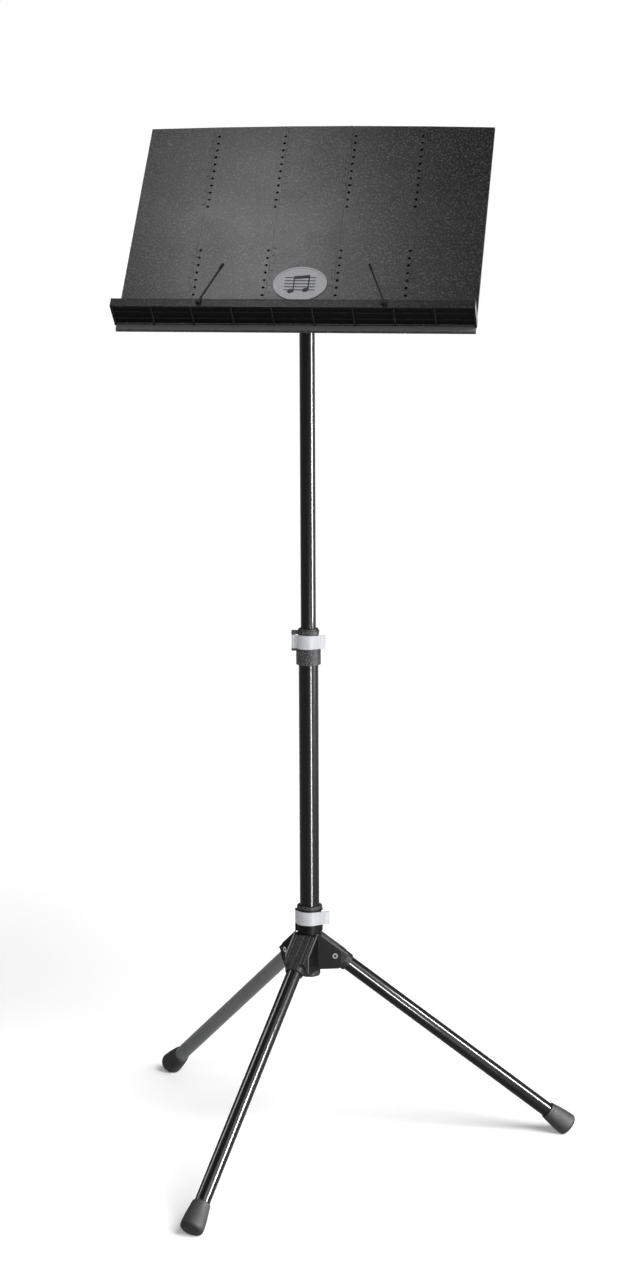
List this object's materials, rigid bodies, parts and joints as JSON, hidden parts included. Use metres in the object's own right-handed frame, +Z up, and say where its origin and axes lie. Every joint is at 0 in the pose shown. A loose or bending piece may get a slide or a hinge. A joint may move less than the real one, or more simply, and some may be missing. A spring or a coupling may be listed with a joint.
{
  "type": "folding music stand",
  "caption": "Folding tripod music stand with a telescopic column, cam-lever clamps and a tilting desk of hinged panels with a sheet tray.",
  "frame": {"origin": "on the floor, under the middle of the stand's overall box; the column stands -49.1 mm along X and 46.0 mm along Y from it", "axes": "+Z up along the column, X along the desk's width, and the desk faces -Y"},
  "size_m": [0.616, 0.6187, 1.3646],
  "materials": {
    "black_metal": "glossy black powder coat",
    "dark_plastic": "fine-grained dark grey plastic",
    "desk_plastic": "fine-grained dark grey plastic with a soft sheen",
    "silver_plastic": "silver-grey plastic",
    "bright_steel": "bright nickel-plated steel",
    "foot_rubber": "dark grey rubber",
    "badge_grey": "light grey printed plastic"
  },
  "bodies": {
    "base": {"hub_body": "black_metal", "hub_liner": "dark_plastic", "hub_lever_pin": "bright_steel", "leg_rivets": "bright_steel"},
    "base_lever": {"hub_lever": "silver_plastic"},
    "lower_column": {"lower_tube": "black_metal", "column_plug": "dark_plastic", "upper_collar": "dark_plastic", "upper_lever_pin": "bright_steel", "guide_bush": "dark_plastic"},
    "column_lever": {"upper_lever": "silver_plastic"},
    "upper_column": {"upper_tube": "black_metal", "tube_stop": "dark_plastic"},
    "desk_head": {"tilt_head": "dark_plastic"},
    "desk_centre": {"tilt_bolt": "bright_steel", "tilt_washer": "bright_steel", "desk_bracket": "black_metal", "bracket_screws": "bright_steel", "centre_panel": "desk_plastic", "badge": "badge_grey", "hinge_pins_2": "bright_steel", "hinge_pins_3": "bright_steel"},
    "clamp_knob": {"tilt_knob": "dark_plastic"},
    "desk_inner_left": {"inner_panel_left": "desk_plastic", "hinge_pins_1": "bright_steel"},
    "desk_inner_right": {"inner_panel_right": "desk_plastic", "hinge_pins_4": "bright_steel"},
    "desk_outer_left": {"outer_panel_left": "desk_plastic"},
    "desk_outer_right": {"outer_panel_right": "desk_plastic"},
    "sheet_tray": {"tray": "dark_plastic", "tray_hooks": "dark_plastic", "holder_rivets": "bright_steel"},
    "holder_left": {"page_holder_left": "black_metal", "holder_tip_left": "dark_plastic"},
    "holder_right": {"page_holder_right": "black_metal", "holder_tip_right": "dark_plastic"},
    "leg_1": {"leg_fitting_1": "dark_plastic", "leg_tube_1": "black_metal", "foot_cap_1": "foot_rubber"},
    "leg_2": {"leg_fitting_2": "dark_plastic", "leg_tube_2": "black_metal", "foot_cap_2": "foot_rubber"},
    "leg_3": {"leg_fitting_3": "dark_plastic", "leg_tube_3": "black_metal", "foot_cap_3": "foot_rubber"}
  },
  "joints": [
    {"name": "leg_fold_1", "type": "hinge", "parent": "base", "child": "leg_1", "pos_m": [-0.01766, 0.05416, 0.26902], "axis": [-0.2504, 0.9681, 0], "range_deg": [0, 51.4]},
    {"name": "leg_fold_2", "type": "hinge", "parent": "base", "child": "leg_2", "pos_m": [-0.0719, 0.0692, 0.26902], "axis": [-0.7133, -0.7009, 0], "range_deg": [0, 51.4]},
    {"name": "leg_fold_3", "type": "hinge", "parent": "base", "child": "leg_3", "pos_m": [-0.05781, 0.0147, 0.26902], "axis": [0.9636, -0.2672, 0], "range_deg": [0, 51.4]},
    {"name": "base_lever_turn", "type": "hinge", "parent": "base", "child": "base_lever", "pos_m": [-0.06546, 0.04134, 0.31662], "axis": [0, 0, -1], "range_deg": [0, 100]},
    {"name": "column_slide", "type": "slide", "parent": "base", "child": "lower_column", "axis": [0, 0, 1], "range_m": [-0.22, 0]},
    {"name": "column_lever_turn", "type": "hinge", "parent": "lower_column", "child": "column_lever", "pos_m": [-0.06815, 0.04056, 0.696], "axis": [0, 0, -1], "range_deg": [0, 100]},
    {"name": "column_swivel", "type": "hinge", "parent": "upper_column", "child": "desk_head", "pos_m": [-0.04912, 0.04602, 1.144], "axis": [0, 0, 1], "continuous": true},
    {"name": "height_slide", "type": "slide", "parent": "lower_column", "child": "upper_column", "axis": [0, 0, 1], "range_m": [-0.25, 0.06]},
    {"name": "desk_tilt", "type": "hinge", "parent": "desk_head", "child": "desk_centre", "pos_m": [-0.04912, 0.04602, 1.179], "axis": [1, 0, 0], "range_deg": [-47, 43]},
    {"name": "knob_turn", "type": "hinge", "parent": "desk_centre", "child": "clamp_knob", "pos_m": [-0.03112, 0.04602, 1.179], "axis": [1, 0, 0], "continuous": true},
    {"name": "inner_fold_left", "type": "hinge", "parent": "desk_centre", "child": "desk_inner_left", "pos_m": [-0.09212, 0.06432, 1.2344], "axis": [0, -0.682, -0.7314], "range_deg": [0, 90]},
    {"name": "outer_fold_left", "type": "hinge", "parent": "desk_inner_left", "child": "desk_outer_left", "pos_m": [-0.18912, 0.06432, 1.2344], "axis": [0, -0.682, -0.7314], "range_deg": [0, 177]},
    {"name": "inner_fold_right", "type": "hinge", "parent": "desk_centre", "child": "desk_inner_right", "pos_m": [-0.00612, 0.06432, 1.2344], "axis": [0, 0.682, 0.7314], "range_deg": [0, 90]},
    {"name": "outer_fold_right", "type": "hinge", "parent": "desk_inner_right", "child": "desk_outer_right", "pos_m": [0.09088, 0.06432, 1.2344], "axis": [0, 0.682, 0.7314], "range_deg": [0, 177]},
    {"name": "tray_release", "type": "slide", "parent": "desk_centre", "child": "sheet_tray", "axis": [0, -0.7314, 0.682], "range_m": [0, 0.04]},
    {"name": "holder_turn_left", "type": "hinge", "parent": "sheet_tray", "child": "holder_left", "pos_m": [-0.16612, -0.07719, 1.14732], "axis": [0, -0.7314, 0.682], "range_deg": [-20, 110]},
    {"name": "holder_turn_right", "type": "hinge", "parent": "sheet_tray", "child": "holder_right", "pos_m": [0.06788, -0.07719, 1.14732], "axis": [0, 0.7314, -0.682], "range_deg": [-20, 110]}
  ]
}
